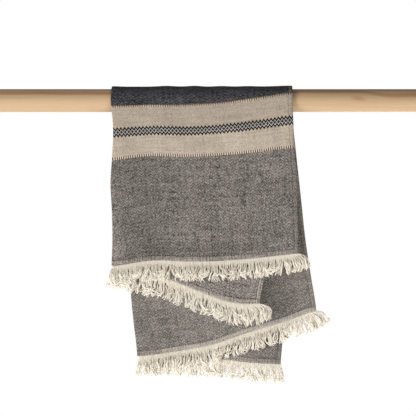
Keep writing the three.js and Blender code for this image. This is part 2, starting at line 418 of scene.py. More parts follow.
# The floor: its radius in metres, its colour, the size of its specks in millimetres and how much they count,
# and its glow, which pales between two distances from its middle, in millimetres.
FLOOR_RADIUS = 2.0
FLOOR_COLOUR = (0.82, 0.81, 0.79)
SPECK_SIZE = 30
SPECK_TONE = (0.97, 0.05)
MIDDLE_GLOW = (0.46, 0.455, 0.445)
RIM_GLOW = (0.8, 0.8, 0.8)
GLOW_PALES = (400, 1700)


class TowelSizes(bpy.types.PropertyGroup):
    """Sizes of the towel and its rod."""

    cut_width: FloatProperty(
        name="Cloth width", description="Width of the open towel", default=0.45, unit="LENGTH"
    )
    cut_length: FloatProperty(
        name="Cloth length", description="Length between the two hems", default=0.6, unit="LENGTH"
    )
    cloth_thickness: FloatProperty(
        name="Cloth thickness", description="Thickness of one layer", default=1.0 * MM, unit="LENGTH"
    )
    weave_pitch: FloatProperty(
        name="Weave pitch",
        description="Distance from one yarn to the next",
        default=0.95 * MM,
        unit="LENGTH",
    )
    zigzag_pitch: FloatProperty(
        name="Zigzag pitch",
        description="Repeat of the zigzag in the stripe",
        default=4.67 * MM,
        unit="LENGTH",
    )
    fringe_fullness: FloatProperty(
        name="Fringe length",
        description="Length of the fringe yarns against their usual length",
        default=1.0,
        subtype="FACTOR",
    )
    fringe_spacing: FloatProperty(
        name="Fringe spacing",
        description="Distance between fringe yarns",
        default=0.38 * MM,
        unit="LENGTH",
    )
    yarn_thickness: FloatProperty(
        name="Yarn thickness", description="Diameter of a fringe yarn", default=0.98 * MM, unit="LENGTH"
    )
    rod_edge: FloatProperty(
        name="Rod edge", description="Rounding of the rod's end edges", default=1.0 * MM, unit="LENGTH"
    )


class TowelColours(bpy.types.PropertyGroup):
    """Colours of the yarns and the wood, as linear values."""

    warp: FloatVectorProperty(
        name="Warp",
        description="Pale yarn that runs the towel's length",
        default=(0.325, 0.292, 0.256),
        subtype="COLOR",
    )
    weft: FloatVectorProperty(
        name="Weft",
        description="Darker yarn that crosses the grey body",
        default=(0.182, 0.166, 0.152),
        subtype="COLOR",
    )
    natural: FloatVectorProperty(
        name="Natural",
        description="Undyed linen of the stripe",
        default=(0.6, 0.505, 0.4),
        subtype="COLOR",
    )
    charcoal_warp: FloatVectorProperty(
        name="Charcoal warp",
        description="Warp of the charcoal band",
        default=(0.126, 0.117, 0.116),
        subtype="COLOR",
    )
    charcoal_weft: FloatVectorProperty(
        name="Charcoal weft",
        description="Weft of the charcoal band",
        default=(0.044, 0.044, 0.05),
        subtype="COLOR",
    )
    tick_brown: FloatVectorProperty(
        name="Brown tick",
        description="Brown ticks beside each band",
        default=(0.11, 0.06, 0.035),
        subtype="COLOR",
    )
    zigzag_line: FloatVectorProperty(
        name="Zigzag line", description="Dark zigzag", default=(0.004, 0.004, 0.005), subtype="COLOR"
    )
    # The root's colour is darker as painted shade where the yarns pack together, and the tip's is paler as
    # painted light where they open.
    fringe_root: FloatVectorProperty(
        name="Fringe root",
        description="Fringe yarn next to the hem",
        default=(0.775, 0.705, 0.59),
        subtype="COLOR",
    )
    fringe_tip: FloatVectorProperty(
        name="Fringe tip",
        description="Fringe yarn at its loose end",
        default=(0.92, 0.86, 0.745),
        subtype="COLOR",
    )
    wood: FloatVectorProperty(
        name="Wood", description="Pale wood of the rod", default=(0.6, 0.415, 0.245), subtype="COLOR"
    )
    wood_grain: FloatVectorProperty(
        name="Grain", description="Darker grain of the rod", default=(0.42, 0.215, 0.1), subtype="COLOR"
    )


class StudioSettings(bpy.types.PropertyGroup):
    """Camera, lights, the floor's height and the start of the random draws."""

    lens: FloatProperty(name="Lens", description="Focal length", default=135, unit="CAMERA")
    distance: FloatProperty(
        name="Distance",
        description="Distance from the camera to the rod's axis",
        default=2.044,
        unit="LENGTH",
    )
    view_drop: FloatProperty(
        name="View drop",
        description="How far the view's middle is below the rod",
        default=0.1407,
        unit="LENGTH",
    )
    key_power: FloatProperty(
        name="Key light", description="Power of the main light", default=119, unit="POWER"
    )
    card_power: FloatProperty(
        name="Card", description="Power of the light from below", default=3.8, unit="POWER"
    )
    back_power: FloatProperty(
        name="Back light", description="Power of the light behind", default=60, unit="POWER"
    )
    floor_drop: FloatProperty(
        name="Floor drop", description="How far the floor is below the rod", default=1.3, unit="LENGTH"
    )
    seed: IntProperty(name="Seed", description="Start of the random draws for the fringe", default=7)


# Shader arithmetic


class Field:
    """One output of a node. Arithmetic on it adds Math nodes."""

    def __init__(self, graph, socket):
        self.graph = graph
        self.socket = socket

    def math(self, operation, *others):
        return self.graph.node("ShaderNodeMath", {"operation": operation}, (self, *others))

    def __add__(self, other):
        return self.math("ADD", other)

    __radd__ = __add__

    def __sub__(self, other):
        return self.math("SUBTRACT", other)

    def __rsub__(self, other):
        return self.graph.node("ShaderNodeMath", {"operation": "SUBTRACT"}, (other, self))

    def __mul__(self, other):
        return self.math("MULTIPLY", other)

    __rmul__ = __mul__

    def __truediv__(self, other):
        return self.math("DIVIDE", other)

    def __pow__(self, other):
        return self.math("POWER", other)

    def __mod__(self, other):
        return self.math("FLOORED_MODULO", other)

    def __abs__(self):
        return self.math("ABSOLUTE")

    def __lt__(self, other):
        return self.math("LESS_THAN", other)

    def floor(self):
        return self.math("FLOOR")

    def fraction(self):
        return self.math("FRACT")

    def lowest(self, other):
        return self.math("MINIMUM", other)

    def highest(self, other):
        return self.math("MAXIMUM", other)

    def rise(self, low, high):
        """0 below low, 1 above high and smooth between."""
        settings = {"interpolation_type": "SMOOTHSTEP"}
        return self.graph.node(
            "ShaderNodeMapRange", settings, {"Value": self, "From Min": low, "From Max": high}
        )

    def between(self, low, high, soft):
        """1 from low to high, fading over soft on both sides."""
        return self.rise(low - soft, low + soft) * (1 - self.rise(high - soft, high + soft))


class Graph:
    """The nodes of one material or world."""

    def __init__(self, tree):
        self.tree = tree
        tree.nodes.clear()

    def node(self, kind, settings=None, inputs=(), output=0):
        """Adds a node: its settings first, then the values or links of its sockets."""
        made = self.tree.nodes.new(kind)
        for name, value in (settings or {}).items():
            if name == "stops":
                self._set_stops(made.color_ramp, value)
            else:
                setattr(made, name, value)
        pairs = inputs.items() if isinstance(inputs, dict) else enumerate(inputs)
        for key, value in pairs:
            if isinstance(value, Field):
                self.tree.links.new(value.socket, made.inputs[key])
            else:
                made.inputs[key].default_value = value
        return Field(self, made.outputs[output]) if len(made.outputs) else None

    @staticmethod
    def _set_stops(ramp, stops):
        for _ in stops[2:]:
            ramp.elements.new(0.5)
        for element, (place, colour) in zip(ramp.elements, stops):
            element.position = place
            element.color = (*colour, 1)

    def vector(self, x=0.0, y=0.0, z=0.0):
        return self.node("ShaderNodeCombineXYZ", {}, (x, y, z))

    def axes(self, vector):
        made = self.node("ShaderNodeSeparateXYZ", {}, (vector,))
        return [Field(self, socket) for socket in made.socket.node.outputs]

    def noise(self, vector, detail=2.0, roughness=0.5):
        """Smooth noise, about 0.5 on average, that changes over a step of 1."""
        return self.node(
            "ShaderNodeTexNoise",
            {"noise_dimensions": "3D"},
            {"Vector": vector, "Scale": 1.0, "Detail": detail, "Roughness": roughness},
        )

    def speckle(self, x, y, layer):
        """Uneven values from 0 to 1, one for each pair of whole numbers."""
        place = self.vector(x, y, layer)
        return self.node("ShaderNodeTexWhiteNoise", {"noise_dimensions": "3D"}, {"Vector": place})

    def pick(self, share, first, second):
        """Blends two numbers."""
        return self.node("ShaderNodeMix", {"data_type": "FLOAT"}, {0: share, 2: first, 3: second})

    def mix(self, share, first, second):
        """Blends two colours."""
        first, second = (c if isinstance(c, Field) else (*c, 1) for c in (first, second))
        return self.node("ShaderNodeMix", {"data_type": "RGBA"}, {0: share, 6: first, 7: second}, 2)

    def shade(self, colour, amount):
        """Darkens or lightens a colour by a factor."""
        return self.node("ShaderNodeVectorMath", {"operation": "SCALE"}, {0: colour, "Scale": amount})

    def flat_place(self):
        """A piece's own UV map in millimetres, across and along."""
        uv = self.node("ShaderNodeUVMap", {"uv_map": "flat"})
        across, along, _ = self.axes(uv)
        return across * (1 / MM), along * (1 / MM)

    def object_place(self):
        """Object coordinates in millimetres."""
        place = self.node("ShaderNodeTexCoord", output=3)
        return [axis * (1 / MM) for axis in self.axes(place)]

    def bump(self, height, strength, distance):
        return self.node("ShaderNodeBump", {}, {"Height": height, "Strength": strength, "Distance": distance})

    def surface(self, colour, roughness, normal, others):
        """A Principled surface as the material's output, with its other sockets by name."""
        inputs = {"Base Color": colour, "Roughness": roughness, **others}
        if normal:
            inputs["Normal"] = normal
        shader = self.node("ShaderNodeBsdfPrincipled", {}, inputs)
        self.node("ShaderNodeOutputMaterial", {}, (shader,))


def new_material(name):
    material = bpy.data.materials.new(name)
    material.use_nodes = True
    return material, Graph(material.node_tree)


# Woven cloth


def cloth_zones(graph, sizes):
    """Where a point lies on the flat towel, in millimetres, and masks for the zones of its weave and tone."""
    across, along = graph.flat_place()
    waver = graph.noise(graph.vector(across / WAVER_LENGTH, along / WAVER_LENGTH)) - 0.5
    line = along + waver * WAVER_DEPTH
    hem = along.lowest(sizes.cut_length / MM - along)
    edge = across.lowest(sizes.cut_width / MM - across)
    return SimpleNamespace(
        across=across,
        along=along,
        waver=waver,
        line=line,
        hem=hem,
        edge=edge,
        stripe=line.between(STRIPE_START, STRIPE_END, BAND_SOFTNESS),
        charcoal=line.between(STRIPE_END, CHARCOAL_END, BAND_SOFTNESS),
        hem_weave=1 - hem.rise(*HEM_ZONE),
        edge_weave=1 - edge.rise(*EDGE_ZONE),
        # Where the groove beside the edge takes painted shade.
        painted_furrow_shade=edge.between(*FURROW_SHADE_ROW),
        inner=across.rise(*INNER_LAYER),
        front_end=1 - along.rise(STRIPE_START - FRONT_END_FADE, STRIPE_START),
        back_end=along.rise(CHARCOAL_END, CHARCOAL_END + BACK_END_FADE),
        # Masks for painted shade above the front hem and near the fold, and for painted light on the stripe's
        # lower half.
        painted_shade_above_hem=along.between(*PAINTED_SHADE_ABOVE_HEM["along"]) * across.between(*PAINTED_SHADE_ABOVE_HEM["across"]),
        painted_shade_near_fold=along.between(*PAINTED_SHADE_NEAR_FOLD["along"]) * across.between(*PAINTED_SHADE_NEAR_FOLD["across"]),
        painted_light_low_stripe=line.between(*PAINTED_LIGHT_LOW_STRIPE),
    )


def yarn_round_shade(place):
    """Painted shade across one yarn's round top, also used as its height: 1 on its middle and less at its
    sides.
    """
    return 1 - (place.fraction() * 2 - 1) ** 2 * YARN_SIDE_SHADE


def weave_fields(graph, zones, pitch):
    """Whether the warp lies on top at a point, how round the upper yarn is, as height and as painted shade,
    and how its tone differs.
    The body is a pointed twill, where a fleck lasts as long as a yarn floats, and the stripe, the hems and
    the edges are a plain weave."""
    place = graph.vector(zones.across / YARN_DRIFT_LENGTH, zones.along / YARN_DRIFT_LENGTH)
    drift = graph.noise(place) - 0.5
    warp_place = (zones.across + drift * WARP_DRIFT) / pitch
    weft_place = (zones.along + drift * WEFT_DRIFT) / pitch
    warp = warp_place.floor()
    weft = weft_place.floor()
    is_plain = zones.stripe.highest(zones.hem_weave).highest(zones.edge_weave)
    turn = abs(warp % (2 * TWILL_TURN) - TWILL_TURN)
    twill = ((turn + weft) % TWILL_REPEAT) < (FLOAT_LENGTH - zones.charcoal)
    plain = ((warp + weft) % 2) < 1
    on_top = graph.pick(is_plain, twill, plain)
    roundness = graph.pick(on_top, yarn_round_shade(weft_place), yarn_round_shade(warp_place))

    crossing = graph.speckle(warp, weft, 1.0)
    repeat = ((turn + weft) / TWILL_REPEAT).floor()
    warp_float = graph.speckle(warp, repeat, 2.0)
    weft_float = graph.speckle((warp / TWILL_REPEAT).floor(), weft * FLOAT_SPACING + repeat, 3.0)
    float_tone = graph.pick(on_top, weft_float, warp_float)
    return SimpleNamespace(
        on_top=on_top,
        roundness=roundness,
        flecks=graph.pick(is_plain, float_tone, crossing) - 0.5,
        warp_tone=graph.noise(graph.vector(warp * WARP_TONE["step"], zones.along / WARP_TONE["length"])),
        weft_tone=graph.noise(graph.vector(zones.across / WEFT_TONE["length"], weft * WEFT_TONE["step"])),
    )


def yarn_colours(graph, zones, weave, colours):
    """The colour of the yarn that lies on top."""
    warp = graph.mix(zones.stripe, colours.warp, colours.natural)
    warp = graph.mix(weave.warp_tone.rise(*BROWN_YARNS) * BROWN_YARN_DEPTH, warp, BROWN_YARN)
    warp = graph.mix(zones.charcoal, warp, colours.charcoal_warp)
    weft = graph.mix(zones.stripe, colours.weft, colours.natural)
    weft = graph.mix(zones.charcoal, weft, colours.charcoal_weft)
    border = zones.hem_weave.highest(zones.edge_weave) * (1 - zones.stripe)
    weft = graph.mix(border * BORDER_PALENESS, weft, colours.warp)
    return graph.mix(weave.on_top, weft, warp)


def zigzag_stripe(graph, zones, colours, pitch):
    """Two mirrored dark zigzag lines, with a paler ground and a row of dark diamonds between them."""
    wave = abs((zones.across / pitch).fraction() - 0.5) * 4 - 1
    away = abs(zones.line - ZIGZAG_MIDDLE)
    depth = away - (wave * ZIGZAG_WAVE + ZIGZAG_REACH)
    inside = graph.mix(depth.rise(-GROUND_SOFTNESS, GROUND_SOFTNESS), ZIGZAG_GROUND, colours.natural)
    diamond = (wave * DIAMOND_WAVE + DIAMOND_REACH - away).rise(-ZIGZAG_SOFTNESS, ZIGZAG_SOFTNESS)
    inside = graph.mix(diamond, inside, DIAMOND)
    on_line = depth.between(-ZIGZAG_HALF_LINE, ZIGZAG_HALF_LINE, ZIGZAG_SOFTNESS)
    return graph.mix(on_line, inside, colours.zigzag_line)


def in_rows(place, rows):
    """1 in any of several rows."""
    mask = place.between(*rows[0])
    for row in rows[1:]:
        mask = mask.highest(place.between(*row))
    return mask


def repeats(zones, pitch, waver, part):
    """1 in the marked part of each repeat across the cloth."""
    return (zones.across / pitch + zones.waver * waver).fraction().between(*part)


def add_design(graph, zones, colours, sizes, woven):
    """Lays the zigzag, the ticks and lines, the hem's dots and the edge's cords over the woven colour."""
    zigzag = zigzag_stripe(graph, zones, colours, sizes.zigzag_pitch / MM)
    woven = graph.mix(zones.line.between(*ZIGZAG_ROW), woven, zigzag)
    ticks = graph.mix(repeats(zones, **TICKS), colours.tick_brown, PALE_TICK)
    woven = graph.mix(in_rows(zones.line, TICK_ROWS), woven, ticks)
    woven = graph.mix(zones.line.between(*BROWN_ROW) * BROWN_ROW_DEPTH, woven, BROWN_LINE)
    dots = zones.hem.between(*DOT_ROW) * repeats(zones, **DOTS)
    woven = graph.mix(dots * DOT_DEPTH, woven, HEM_DOT)
    cords = in_rows(zones.edge, EDGE_CORDS) * zones.front_end
    cords = cords * (CORD_PALENESS + zones.inner * INNER_CORD_PALENESS)
    return graph.mix(cords, woven, EDGE_CORD)


def weighted(start, zones, weights):
    """A start value plus each named zone times its weight."""
    total = start
    for name, weight in weights.items():
        total = total + getattr(zones, name) * weight
    return total


def cloth_tone(zones, weave, swells):
    """How light the cloth is at a point, with painted shade above the front hem, near the fold and in the
    groove by the edge, and painted light on the stripe's lower half.
    """
    uneven = (weave.warp_tone - 0.5) * (WARP_UNEVENNESS + zones.hem_weave)
    uneven = uneven + (weave.weft_tone - 0.5) * WEFT_UNEVENNESS
    for swell in swells.values():
        uneven = uneven + swell
    uneven = uneven + weave.flecks * FLECK_STRENGTH
    tone = BASE_TONE + uneven * weighted(1, zones, CONTRAST)
    tone = tone * weighted(1, zones, LIGHTNESS)
    tone = tone * weighted(1, zones, SIDE_LIGHTNESS)
    hem_ribs = zones.hem_weave * (repeats(zones, **RIBS) - RIB_LEVEL) * RIB_HEIGHT
    edge_ribs = zones.edge_weave * (zones.inner * zones.front_end * EDGE_PALENESS - EDGE_SHADE)
    back_hem = zones.hem_weave * zones.inner * zones.back_end * BACK_HEM_PALENESS
    return tone + hem_ribs + edge_ribs + back_hem


def cloth_material(colours, sizes):
    """Washed linen in a pointed twill: a grey body with a natural stripe and a charcoal band."""
    material, graph = new_material("linen_twill")
    zones = cloth_zones(graph, sizes)
    weave = weave_fields(graph, zones, sizes.weave_pitch / MM)
    swells = {}
    for name, (across, along, layer, detail, strength) in SWELLS.items():
        place = graph.vector(zones.across / across, zones.along / along, layer)
        swells[name] = (graph.noise(place, detail) - 0.5) * strength
    woven = yarn_colours(graph, zones, weave, colours)
    woven = add_design(graph, zones, colours, sizes, woven)
    # The colour carries painted shade on the round sides of the yarns.
    colour = graph.shade(woven, cloth_tone(zones, weave, swells) * weave.roundness)
    height = weave.roundness + weave.on_top * WARP_RELIEF + swells["grain"]
    normal = graph.bump(height, strength=0.3, distance=0.25 * MM)
    sheen = {"Sheen Weight": 0.04, "Sheen Roughness": 0.6, "Specular IOR Level": 0.15}
    graph.surface(colour, 0.92, normal, sheen)
    return material


def yarn_material(colours):
    """Loose linen warp ends: darker with painted shade and flatter at the root, paler with painted light
    where they open at the tip, and a few brown with the painted shade of the gaps between locks.
    """
    material, graph = new_material("loose_yarn")
    uv = graph.node("ShaderNodeUVMap", {"uv_map": "flat"})
    code, along, _ = graph.axes(uv)
    number = code * YARN_CODES
    own = graph.node("ShaderNodeTexWhiteNoise", {"noise_dimensions": "1D"}, {"W": number})
    fleck = graph.noise(graph.vector(number, along * FLECKS_ALONG))
    # The yarn pales from painted shade at the packed root to painted light at the open tip.
    opened_and_lit = along.rise(*YARN_OPENS)
    base = graph.mix(opened_and_lit, colours.fringe_root, colours.fringe_tip)
    # A few yarns turn brown where they open: painted shade of the gaps between locks.
    base = graph.mix(own.rise(*GAP_SHADE_DRAWS) * opened_and_lit * GAP_SHADE_DEPTH, base, GAP_SHADE_BROWN)
    colour = graph.shade(base, 1 + (own - 0.5) * OWN_TONE + (fleck - 0.5) * FLECK_TONE)
    ply = (along * PLY_TURNS + code * PLY_SHIFT).fraction()
    height = 1 - (ply * 2 - 1) ** 2
    normal = graph.bump(height + fleck, strength=0.35, distance=0.1 * MM)
    sheen = {"Sheen Weight": 0.2, "Sheen Roughness": 0.5, "Specular IOR Level": 0.2}
    graph.surface(colour, 0.9, normal, sheen)
    return material


def knot_mask(x, y, z, knot):
    """1 in the heart of a knot on the rod's front, falling to 0 round it."""
    beside = (x - knot["x"]) / knot["half"][0]
    above = (z - knot["z"] + (x - knot["x"]) * knot["lean"]) / knot["half"][1]
    away = beside ** 2 + above ** 2 + y.rise(-KNOT_DEPTH, KNOT_DEPTH) * KNOT_FADE
    return 1 - (away ** 0.5).rise(knot["heart"], 1.0)


def wood_streak(graph, x, y, flow):
    """1 on the darker streak, which rises to a hump and dips at its end."""
    sway = graph.noise(graph.vector(x / STREAK["sway_length"], 0.0, 0.0), 1)
    dip = x.rise(*STREAK["dip"])
    away = flow - STREAK["height"] - sway * STREAK["sway"]
    away = away - x.between(*STREAK["hump"]) * STREAK["bend"] + dip * STREAK["bend"]
    half_width = STREAK["half_width"] + dip * STREAK["widening"]
    streak = 1 - (abs(away) / half_width).rise(*STREAK["fade"])
    return streak * (1 - y.rise(-STREAK["depth"], STREAK["depth"]))


def wood_grain(graph, x, y, flow, kind):
    length, width, detail, roughness = kind
    return graph.noise(graph.vector(x / length, y / width, flow / width), detail, roughness)


def wood_material(colours):
    """Pale sanded softwood: long grain that bends round a dark and a pale knot, a streak, and end grain."""
    material, graph = new_material("pale_wood")
    x, y, z = graph.object_place()
    knots = [knot_mask(x, y, z, knot) for knot in KNOTS]
    flow = z
    for mask, knot in zip(knots, KNOTS):
        flow = flow + (z - knot["z"]) * mask * knot["bend"]
    broad = wood_grain(graph, x, y, flow, BROAD_GRAIN)
    fine = wood_grain(graph, x, y, flow, FINE_GRAIN)
    fibre = wood_grain(graph, x, y, flow, FIBRES)
    streak = wood_streak(graph, x, y, flow)

    grain = broad.rise(*BROAD_SHADE[:2]) * BROAD_SHADE[2] + fine.rise(*FINE_SHADE[:2]) * FINE_SHADE[2]
    grain = grain + streak * STREAK["shade"]
    for mask, knot in zip(knots, KNOTS):
        grain = grain + mask * knot["shade"]
    colour = graph.mix(grain.highest(0).lowest(1), colours.wood, colours.wood_grain)
    colour = graph.shade(colour, 1 + (fibre - 0.5) * FIBRE_SHADE)

    from_axis = (y * y + z * z) ** 0.5
    rings = (from_axis / RING_PITCH + broad).fraction().rise(*RING_PART) * RING_SHADE
    at_end = 1 - x.between(END_DEPTH, ROD_LENGTH / MM - END_DEPTH, END_SOFTNESS)
    colour = graph.mix(at_end * (rings + END_SHADE), colour, colours.wood_grain)
    normal = graph.bump(fibre + fine * FINE_RELIEF, strength=0.12, distance=0.15 * MM)
    roughness = WOOD_ROUGHNESS + fibre * FIBRE_ROUGHNESS
    graph.surface(colour, roughness, normal, {"Specular IOR Level": 0.35})
    return material


# Shape of the hanging cloth, in metres


def blend(first, second, share):
    return first + (second - first) * share


def smooth_step(value, low, high):
    share = np.clip((value - low) / (high - low), 0, 1)
    return share * share * (3 - 2 * share)


def bell(distance, width):
    return np.exp(-((distance / width) ** 2))


def smooth_column(table, name, share):
    """Reads a table's column as a smooth curve over the share 0 to 1, carried straight on past 1."""
    values = np.array(table[name]) * MM
    padded = np.concatenate((values[:1], values, values[-1:]))
    spans = len(values) - 1
    inside = np.clip(share, 0, 1) * spans
    step = np.minimum(inside.astype(int), spans - 1)
    t = inside - step
    before, start, end, after = (padded[step + k] for k in range(4))
    leave, arrive = (end - before) / 2, (after - start) / 2
    cubic = 2 * (start - end) + leave + arrive
    square = 3 * (end - start) - 2 * leave - arrive
    last_slope = (values[-1] - values[-2]) / 2 * spans
    return ((cubic * t + square) * t + leave) * t + start + last_slope * np.maximum(share - 1, 0)


def wave_lift(waves, x, drop):
    lift = 0
    for wave in waves:
        start = wave["start"] * MM
        grown = smooth_step(drop, start, start + WAVE_GROWTH)
        away = x - wave["at"] * MM - wave["lean"] * drop
        lift = lift + wave["rise"] * MM * grown * bell(away, wave["width"] * MM)
    return lift


def crest_lift(x, drop):
    fade = 1 - smooth_step(drop, 0, CREST_FADE)
    bumps = (bump["rise"] * MM * bell(x - bump["at"] * MM, bump["width"] * MM) for bump in CREST_BUMPS)
    return fade * sum(bumps)


def layer_place(name, across, down, past=0.0):
    """Where a layer hangs: x along the rod, drop below its axis and lift out from its middle plane.
    across is 0 at the fold and 1 at the woven edge, down is 0 at the rod and 1 at the hem, and past is a
    distance added to the drop."""
    layer = LAYERS[name]
    reach = smooth_column(HEMS, name, across)
    drop = down * reach + past
    share = drop / reach
    x = blend(smooth_column(RAILS, layer["fold"], share), smooth_column(RAILS, name, share), across)
    waves = wave_lift(FRONT_WAVES if layer["side"] < 0 else BACK_WAVES, x, drop)
    spread = -HEM_SPREAD * smooth_step(drop, *SPREAD_DROPS) if layer["lift"] == INNER_LIFT else 0
    return x, drop, layer["lift"] + waves + spread + crest_lift(x, drop)


def folded_place(side, cell, down):
    """A point across the folded cloth: cell 0 to 1 is the outer layer from its edge to the fold,
    1 to 2 the turn of the fold, and 2 to 3 the inner layer from the fold to its edge."""
    outer = layer_place(side + "_outer", np.clip(1 - cell, 0, 1), down)
    inner = layer_place(side + "_inner", np.clip(cell - 2, 0, 1), down)
    turn = np.clip(cell - 1, 0, 1) * math.pi
    radius = (outer[2] - inner[2]) / 2
    on_outer, on_inner = cell <= 1, cell >= 2
    x = np.where(on_outer, outer[0], np.where(on_inner, inner[0], outer[0] - radius * np.sin(turn)))
    drop = np.where(on_outer, outer[1], inner[1])
    turned = (outer[2] + inner[2]) / 2 + radius * np.cos(turn)
    return x, drop, np.where(on_outer, outer[2], np.where(on_inner, inner[2], turned))


def cloth_points(cell, row):
    """The cloth's middle surface. row is 0 at the front hem, 1 and 2 on the rod's front and back, and 3 at
    the back hem."""
    front = folded_place("front", cell, np.clip(1 - row, 0, 1))
    back = folded_place("back", cell, np.clip(row - 2, 0, 1))
    share = np.clip(row - 1, 0, 1)
    lift = blend(front[2], back[2], share)
    angle = share * math.pi
    return np.stack(
        (
            blend(front[0], back[0], share),
            -lift * np.cos(angle),
            lift * np.sin(angle) - front[1] - back[1],
        ),
        axis=-1,
    )


def flat_points(cell, row, sizes):
    """The same points on the flat cloth: distance from the outer layer's edge and from the front hem."""
    across = np.where(cell <= 1, np.clip(1 - cell, 0, 1), np.clip(cell - 2, 0, 1))
    outer = cell < 1.5
    reaches = []
    widths = []
    for side, down in (("front", np.clip(1 - row, 0, 1)), ("back", np.clip(row - 2, 0, 1))):
        names = (side + "_outer", side + "_inner")
        reach = [smooth_column(HEMS, name, across) for name in names]
        fold = smooth_column(RAILS, side + "_fold", down)
        reaches.append(np.where(outer, *reach))
        widths.append([smooth_column(RAILS, name, down) - fold for name in names])
    share = np.clip(row - 1, 0, 1)
    outer_width = blend(widths[0][0], widths[1][0], share)
    inner_width = blend(widths[0][1], widths[1][1], share)
    fold_width = (OUTER_LIFT - INNER_LIFT) * math.pi / 2
    walked = np.clip(cell, 0, 1) * outer_width + np.clip(cell - 1, 0, 1) * fold_width
    walked = walked + np.clip(cell - 2, 0, 1) * inner_width
    flat_across = sizes.cut_width * walked / (outer_width + fold_width + inner_width)

    lift = np.where(outer, OUTER_LIFT, INNER_LIFT)
    from_front = reaches[0] * np.clip(row, 0, 1) + lift * math.pi * share
    to_back = reaches[1] * np.clip(3 - row, 0, 1) + lift * math.pi * (1 - share)
    along = blend(from_front, sizes.cut_length - to_back, share)
    slack = smooth_step(along, *SLACK_GROWS) * (1 - smooth_step(along, *SLACK_FADES))
    along = along + smooth_column(HEMS, "ease", across) * slack
    return np.stack((flat_across, along), axis=-1)


def even_steps(share, counts):
    """Maps a share of all the steps to a stage number, where stage k has counts[k] steps."""
    ends = np.concatenate(([0], np.cumsum(counts))) / sum(counts)
    return np.interp(share, ends, np.arange(len(counts) + 1))


def rumple(flat):
    """Height of the cloth's small unevenness, as a sum of crossing low swells."""
    draws = np.random.default_rng(RUMPLE_SEED)
    height = np.zeros(len(flat))
    for length in RUMPLE_LENGTHS:
        for _ in range(RUMPLE_CROSSINGS):
            heading, phase = draws.uniform(0, math.pi), draws.uniform(0, 2 * math.pi)
            walk = flat[:, 0] * math.cos(heading) + flat[:, 1] * math.sin(heading)
            height += np.sin(walk * 2 * math.pi / length + phase) * length
    return height * RUMPLE_HEIGHT


def link_piece(name, mesh, material, replaced):
    """Makes an object of a finished mesh, rides it on the body and gives it its finish."""
    piece = bpy.data.objects.new(name, mesh)
    bpy.context.scene.collection.objects.link(piece)
    mesh.materials.clear()
    mesh.materials.append(material)
    mesh.polygons.foreach_set("use_smooth", [True] * len(mesh.polygons))
    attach(piece, "root")
    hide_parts(replaced)
    return piece


def finished_mesh(name, mesh, modifiers):
    """A copy of a mesh with modifiers applied. modifiers maps a type to its settings."""
    maker = bpy.data.objects.new("maker", mesh)
    bpy.context.scene.collection.objects.link(maker)
    for kind, settings in modifiers.items():
        modifier = maker.modifiers.new(kind, kind)
        for key, value in settings.items():
            setattr(modifier, key, value)
    evaluated = maker.evaluated_get(bpy.context.evaluated_depsgraph_get())
    result = bpy.data.meshes.new_from_object(evaluated)
    result.name = name
    bpy.data.objects.remove(maker)
    bpy.data.meshes.remove(mesh)
    return result


def vertex_array(mesh):
    places = np.empty(len(mesh.vertices) * 3)
    mesh.vertices.foreach_get("co", places)
    return places.reshape(-1, 3)


def write_uv(mesh, points):
    """Stores one flat point for each vertex as the mesh's UV map."""
    layer = mesh.uv_layers.new(name="flat")
    corners = np.empty(len(mesh.loops), dtype=int)
    mesh.loops.foreach_get("vertex_index", corners)
    layer.uv.foreach_set("vector", points[corners].ravel())


class TOWEL_OT_cloth(bpy.types.Operator):
    """Make the folded cloth that hangs over the rod"""

    bl_idname = "towel.cloth"
    bl_label = "Cloth"

    across_steps = (84, 8, 84)
    along_steps = (76, 26, 120)

    def execute(self, context):
        sizes = context.scene.towel_sizes
        sheet = bmesh.new()
        across_steps, along_steps = sum(self.across_steps), sum(self.along_steps)
        bmesh.ops.create_grid(sheet, x_segments=across_steps, y_segments=along_steps, size=0.5)
        mesh = bpy.data.meshes.new("towel_cloth_sheet")
        sheet.to_mesh(mesh)
        sheet.free()

        grid = vertex_array(mesh) + 0.5
        cell = even_steps(grid[:, 0], self.across_steps)
        row = even_steps(grid[:, 1], self.along_steps)
        flat = flat_points(cell, row, sizes)
        points = cloth_points(cell, row)
        free = np.where(row < 1.5, 1 - np.clip(row, 0, 1), np.clip(row - 2, 0, 1))
        outwards = -np.cos(np.clip(row - 1, 0, 1) * math.pi)
        points[:, 1] += outwards * (rumple(flat) * smooth_step(free, 0, RUMPLE_GROWTH))
        mesh.vertices.foreach_set("co", points.ravel())
        write_uv(mesh, flat)
        mesh.update()
        solid = {"SOLIDIFY": {"thickness": sizes.cloth_thickness, "offset": 0}}
        mesh = finished_mesh("towel_cloth_linen", mesh, solid)
        material = cloth_material(context.scene.towel_colours, sizes)
        link_piece("towel_cloth_linen", mesh, material, "towel_cloth")
        return {"FINISHED"}


def draw_angles(draws, limits, count):
    """Even draws between two angles in degrees."""
    return draws.uniform(math.radians(limits[0]), math.radians(limits[1]), count)


def wander(draws, x):
    """A smooth rise and fall between about -1 and 1 along the hem."""
    total = 0
    for length in WANDER_LENGTHS:
        total = total + np.sin(x * 2 * math.pi / (length * MM) + draws.uniform(0, 2 * math.pi))
    return total / WANDER_RANGE


